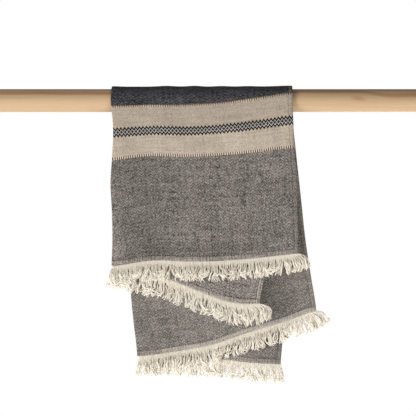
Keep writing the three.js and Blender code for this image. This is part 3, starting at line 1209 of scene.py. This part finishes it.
def lock_draws(draws, root_x):
    """Groups neighbouring yarns into locks. Gives each yarn its lock's middle and bends."""
    ends = []
    reached = root_x[0]
    while reached < root_x[-1]:
        reached += draws.uniform(*LOCKS["width"]) * MM
        ends.append(reached)
    lock = np.searchsorted(ends, root_x)
    count = len(ends) + 1
    middle = np.array([root_x[lock == k].mean() if (lock == k).any() else 0 for k in range(count)])
    lean = math.radians(LOCKS["lean"]) * wander(draws, middle)
    lean = lean + draws.normal(0, math.radians(LOCKS["lean_spread"]), count)
    swing = draw_angles(draws, LOCKS["swing"], count)
    turns = draws.uniform(*LOCKS["turns"], count)
    phase = draws.uniform(0, 2 * math.pi, count)
    curl = math.radians(LOCKS["curl"]) * wander(draws, middle)
    curl = curl + draws.normal(0, math.radians(LOCKS["curl_spread"]), count)
    depth = draws.choice(LOCKS["depth"], count)
    depth = depth + draws.uniform(-LOCKS["depth_spread"], LOCKS["depth_spread"], count)
    bends = {"lean": lean, "swing": swing, "turns": turns, "phase": phase, "curl": curl, "depth": depth}
    return middle[lock], SimpleNamespace(**{name: values[lock] for name, values in bends.items()})


def distance_gone(steps):
    """Distance gone by each level, from 0 at the root."""
    return np.cumsum(steps, axis=1) - steps[:, :1]


def end_fans(layer, across):
    """How far each yarn leans because it is near the fold or the edge, in radians."""
    fold_fan, edge_fan = (math.radians(angle) for angle in layer["fans"])
    fan = fold_fan * (np.maximum(FAN_SHARE - across, 0) / FAN_SHARE) ** FAN_POWER
    return fan + edge_fan * (np.maximum(across - 1 + FAN_SHARE, 0) / FAN_SHARE) ** FAN_POWER


def yarn_paths(name, sizes, draws, levels):
    """Middle line of every yarn in a run, as x, drop and lift, with its heading in the hanging plane."""
    layer = LAYERS[name]
    hem_width = (RAILS[name][-1] - RAILS[layer["fold"]][-1]) * MM
    count = round(hem_width / sizes.fringe_spacing)
    across = np.clip((np.arange(count) + draws.uniform(*YARNS["root"], count)) / count, *HEM_ENDS)
    across = blend(across, smooth_step(across, 0, 1), END_CROWDING)
    x, drop, lift = layer_place(name, across, 1.0, -ROOT_TUCK)
    middle, lock = lock_draws(draws, x)
    held = np.where(draws.uniform(0, 1, count) < STRAY_SHARE, STRAY_HOLD, 1.0)

    swing = draw_angles(draws, YARNS["swing"], count)
    turns = draws.uniform(*YARNS["turns"], count)[:, None]
    phase = draws.uniform(0, 2 * math.pi, count)[:, None]
    curl = draws.uniform(*YARNS["curl"], count) * lock.curl
    curl = curl + draws.normal(0, math.radians(YARNS["curl_spread"]), count)
    fan = end_fans(layer, across)
    in_fan = np.clip(abs(fan) / math.radians(FULL_FAN), 0, 1)
    curl = layer["curl"] * blend(curl, -FAN_CURL * np.sign(fan) * abs(curl), in_fan)

    share = np.linspace(0, 1, levels + 1)[None, :]
    loose = smooth_step(share, *LOOSENS)
    lock_wave = np.sin(share * lock.turns[:, None] * 2 * math.pi + lock.phase[:, None])
    own_wave = np.sin(share * turns * 2 * math.pi + phase)
    curled = np.clip((share - CURL_START) / (1 - CURL_START), 0, 1) ** CURL_POWER
    heading = (
        fan[:, None] * (1 - layer["droop"] * smooth_step(share, *DROOPS))
        + (lock.lean * held * (1 - in_fan))[:, None] * loose
        + (lock.swing * held)[:, None] * loose * lock_wave
        + swing[:, None] * loose * own_wave
        + curl[:, None] * curled
    )
    length = layer["yarn"] * MM * sizes.fringe_fullness * draws.uniform(*YARNS["length"], count)
    step = length[:, None] / levels
    moved_x = distance_gone(np.sin(heading) * step)
    moved_drop = distance_gone(np.cos(heading) * step)
    drawn = GATHERING * smooth_step(share, *GATHERS) - SPREADING * smooth_step(share, *SPREADS_AGAIN)
    pull = ((middle - x) * held)[:, None] * drawn

    low, high = (value * MM for value in layer["fluff"])
    depth = np.where(held < 1, STRAY_DEPTH, lock.depth) + draws.normal(0, YARNS["depth_spread"], count)
    stand = blend(low, high, np.clip(depth, 0, 1))[:, None] * smooth_step(share, *STANDS_OUT)
    stand = stand + draws.uniform(-YARNS["stand"], YARNS["stand"], count)[:, None] * MM
    ripple = np.sin(share * turns * RIPPLE["turns"] + phase * RIPPLE["phase"])
    stand = stand + RIPPLE["height"] * loose * ripple
    return x[:, None] + moved_x + pull, drop[:, None] + moved_drop, lift[:, None] + stand, heading


class TOWEL_OT_fringes(bpy.types.Operator):
    """Make the four runs of loose yarn below the hems"""

    bl_idname = "towel.fringes"
    bl_label = "Fringes"

    sides = 5
    levels = 18
    spacing = 4

    def straight_yarns(self, count):
        """Many copies of one straight capped yarn, side by side along X, each of radius 1 with a ring at each
        whole Z."""
        yarn = bmesh.new()
        bmesh.ops.create_cone(
            yarn, cap_ends=True, segments=self.sides, radius1=1, radius2=1, depth=self.levels
        )
        upright = [edge for edge in yarn.edges if abs(edge.verts[0].co.z - edge.verts[1].co.z) > 1]
        bmesh.ops.subdivide_edges(yarn, edges=upright, cuts=self.levels - 1)
        bmesh.ops.translate(yarn, vec=(0, 0, self.levels / 2), verts=yarn.verts)
        mesh = bpy.data.meshes.new("yarn")
        yarn.to_mesh(mesh)
        yarn.free()
        copies = {
            "count": count,
            "use_relative_offset": False,
            "use_constant_offset": True,
            "constant_offset_displace": (self.spacing, 0, 0),
        }
        return finished_mesh("yarns", mesh, {"ARRAY": copies})

    def make_run(self, name, sizes, material, draws):
        side = LAYERS[name]["side"]
        x, drop, lift, heading = yarn_paths(name, sizes, draws, self.levels)
        count = len(x)
        mesh = self.straight_yarns(count)
        straight = vertex_array(mesh)
        yarn = ((straight[:, 0] + self.spacing / 2) // self.spacing).astype(int)
        yarn = np.clip(yarn, 0, count - 1)
        level = np.clip(np.rint(straight[:, 2]).astype(int), 0, self.levels)
        share = level / self.levels
        thick = sizes.yarn_thickness / 2 * draws.uniform(*YARNS["thickness"], count)[yarn]
        swelling = SWELLING * smooth_step(share, *SWELLS_OUT)
        thick = thick * (ROOT_THICKNESS + swelling - TAPERING * smooth_step(share, *TAPERS))
        outward = (straight[:, 0] - yarn * self.spacing) * thick
        sideways = straight[:, 1] * thick * side
        turn = heading[yarn, level]
        points = np.stack(
            (
                x[yarn, level] - sideways * np.cos(turn),
                side * (lift[yarn, level] + outward),
                -drop[yarn, level] - sideways * np.sin(turn),
            ),
            axis=-1,
        )
        mesh.vertices.foreach_set("co", points.ravel())
        write_uv(mesh, np.stack((yarn / YARN_CODES, share), axis=-1))
        mesh.update()
        mesh.name = name
        return link_piece(f"fringe_{name}_yarns", mesh, material, "fringe_" + name)

    def execute(self, context):
        sizes = context.scene.towel_sizes
        material = yarn_material(context.scene.towel_colours)
        draws = np.random.default_rng(context.scene.studio_settings.seed)
        runs = [self.make_run(name, sizes, material, draws) for name in LAYERS]
        return {"FINISHED"}


class TOWEL_OT_rod(bpy.types.Operator):
    """Make the turned wooden rod"""

    bl_idname = "towel.rod"
    bl_label = "Rod"

    around = 96
    edge_steps = 4
    place_step = 1000

    def place_key(self, face):
        """One number for a face's place, by x, then y, then z."""
        middle = face.calc_center_median()
        return (middle.x * self.place_step + middle.y) * self.place_step + middle.z

    def execute(self, context):
        edge = context.scene.towel_sizes.rod_edge
        rod = bmesh.new()
        outline = [rod.verts.new((ROD_BOX[0].x, 0, 0))]
        for end, middle in ((ROD_BOX[0].x, ROD_BOX[0].x + edge), (ROD_BOX[1].x, ROD_BOX[1].x - edge)):
            corner = []
            for k in range(self.edge_steps + 1):
                angle = math.pi / 2 * k / self.edge_steps
                along = middle + (end - middle) * math.cos(angle)
                corner.append(rod.verts.new((along, 0, ROD_RADIUS - edge + edge * math.sin(angle))))
            outline += corner if end < middle else corner[::-1]
        outline.append(rod.verts.new((ROD_BOX[1].x, 0, 0)))
        edges = [rod.edges.new(pair) for pair in zip(outline, outline[1:])]
        bmesh.ops.spin(
            rod, geom=outline + edges, cent=(0, 0, 0), axis=(1, 0, 0), angle=2 * math.pi,
            steps=self.around, use_merge=True,
        )
        bmesh.ops.remove_doubles(rod, verts=rod.verts, dist=0.01 * MM)
        bmesh.ops.recalc_face_normals(rod, faces=rod.faces)
        # The spin gives its faces in another order each time, so they are put in one fixed order.
        rod.faces.sort(key=self.place_key)
        mesh = bpy.data.meshes.new("turned_rod")
        rod.to_mesh(mesh)
        rod.free()
        material = wood_material(context.scene.towel_colours)
        link_piece("turned_rod", mesh, material, "rod")
        return {"FINISHED"}


class TOWEL_OT_stage(bpy.types.Operator):
    """Make the floor, the lights and the camera"""

    bl_idname = "towel.stage"
    bl_label = "Floor, light and camera"

    def make_world(self, context):
        """White behind the part, and softer light from all round, stronger from below."""
        world = bpy.data.worlds.new("studio")
        world.use_nodes = True
        context.scene.world = world
        graph = Graph(world.node_tree)
        heading = graph.axes(graph.node("ShaderNodeTexCoord"))[2]
        stops = [(place, (level, level, level)) for place, level in SKY]
        around = graph.node("ShaderNodeValToRGB", {"stops": stops}, (heading * 0.5 + 0.5,))
        seen = graph.node("ShaderNodeLightPath")
        colour = graph.mix(seen, around, (1.0, 1.0, 1.0))
        background = graph.node("ShaderNodeBackground", {}, (colour, 1.0))
        graph.node("ShaderNodeOutputWorld", {}, (background,))
        context.scene.view_settings.view_transform = "Standard"

    def make_floor(self, context):
        studio = context.scene.studio_settings
        disc = bmesh.new()
        bmesh.ops.create_circle(disc, cap_ends=True, segments=96, radius=FLOOR_RADIUS)
        bmesh.ops.translate(disc, vec=(ROD_LENGTH / 2, 0, -studio.floor_drop), verts=disc.verts)
        mesh = bpy.data.meshes.new("floor")
        disc.to_mesh(mesh)
        disc.free()
        material, graph = new_material("pale_floor")
        x, y, _ = graph.object_place()
        speck = graph.noise(graph.vector(x / SPECK_SIZE, y / SPECK_SIZE), 3)
        pale = graph.shade(FLOOR_COLOUR, SPECK_TONE[0] + speck * SPECK_TONE[1])
        from_middle = ((x - ROD_LENGTH / MM / 2) ** 2 + y * y) ** 0.5
        glow = graph.mix(from_middle.rise(*GLOW_PALES), MIDDLE_GLOW, RIM_GLOW)
        graph.surface(pale, 0.8, None, {"Emission Color": glow, "Emission Strength": 1.0})
        mesh.materials.append(material)
        floor = bpy.data.objects.new("floor", mesh)
        context.scene.collection.objects.link(floor)

    def make_light(self, context, name, place, target, size, power):
        light = bpy.data.lights.new(name, "AREA")
        light.shape = "DISK"
        light.size = size
        light.energy = power
        lamp = bpy.data.objects.new(name, light)
        lamp.location = place
        lamp.rotation_euler = (Vector(target) - Vector(place)).to_track_quat("-Z", "Y").to_euler()
        context.scene.collection.objects.link(lamp)

    def execute(self, context):
        studio = context.scene.studio_settings
        self.make_world(context)
        self.make_floor(context)
        middle = ROD_LENGTH / 2
        for name, light in LIGHTS.items():
            place = (middle + light["place"][0], *light["place"][1:])
            aim = light.get("target", (0, 0, -studio.view_drop))
            target = (middle + aim[0], *aim[1:])
            power = getattr(studio, name + "_power")
            self.make_light(context, name, place, target, light["size"], power)
        camera = bpy.data.objects.new("camera", bpy.data.cameras.new("camera"))
        camera.data.lens = studio.lens
        camera.data.sensor_width = SENSOR_WIDTH
        camera.location = (middle, -studio.distance, -studio.view_drop)
        camera.rotation_euler = (math.pi / 2, 0, 0)
        context.scene.collection.objects.link(camera)
        context.scene.camera = camera
        return {"FINISHED"}


class TOWEL_PT_panel(bpy.types.Panel):
    """Lists the towel's sizes, colours and makers"""

    bl_label = "Towel on a rod"
    bl_space_type = "VIEW_3D"
    bl_region_type = "UI"
    bl_category = "Towel"

    def draw(self, context):
        scene = context.scene
        for group in (scene.towel_sizes, scene.towel_colours, scene.studio_settings):
            box = self.layout.box()
            for name in group.__annotations__:
                box.prop(group, name)
        for operator in OPERATORS:
            self.layout.operator(operator.bl_idname)


GROUPS = {"towel_sizes": TowelSizes, "towel_colours": TowelColours, "studio_settings": StudioSettings}
OPERATORS = (TOWEL_OT_stage, TOWEL_OT_rod, TOWEL_OT_cloth, TOWEL_OT_fringes)


def register():
    for kind in (*GROUPS.values(), *OPERATORS, TOWEL_PT_panel):
        bpy.utils.register_class(kind)
    for name, group in GROUPS.items():
        setattr(bpy.types.Scene, name, PointerProperty(type=group))


def unregister():
    for name in GROUPS:
        delattr(bpy.types.Scene, name)
    for kind in (TOWEL_PT_panel, *reversed(OPERATORS), *GROUPS.values()):
        bpy.utils.unregister_class(kind)


def main():
    register()
    bpy.ops.towel.stage()
    bpy.ops.towel.rod()
    bpy.ops.towel.cloth()
    bpy.ops.towel.fringes()


if __name__ == "__main__":
    main()
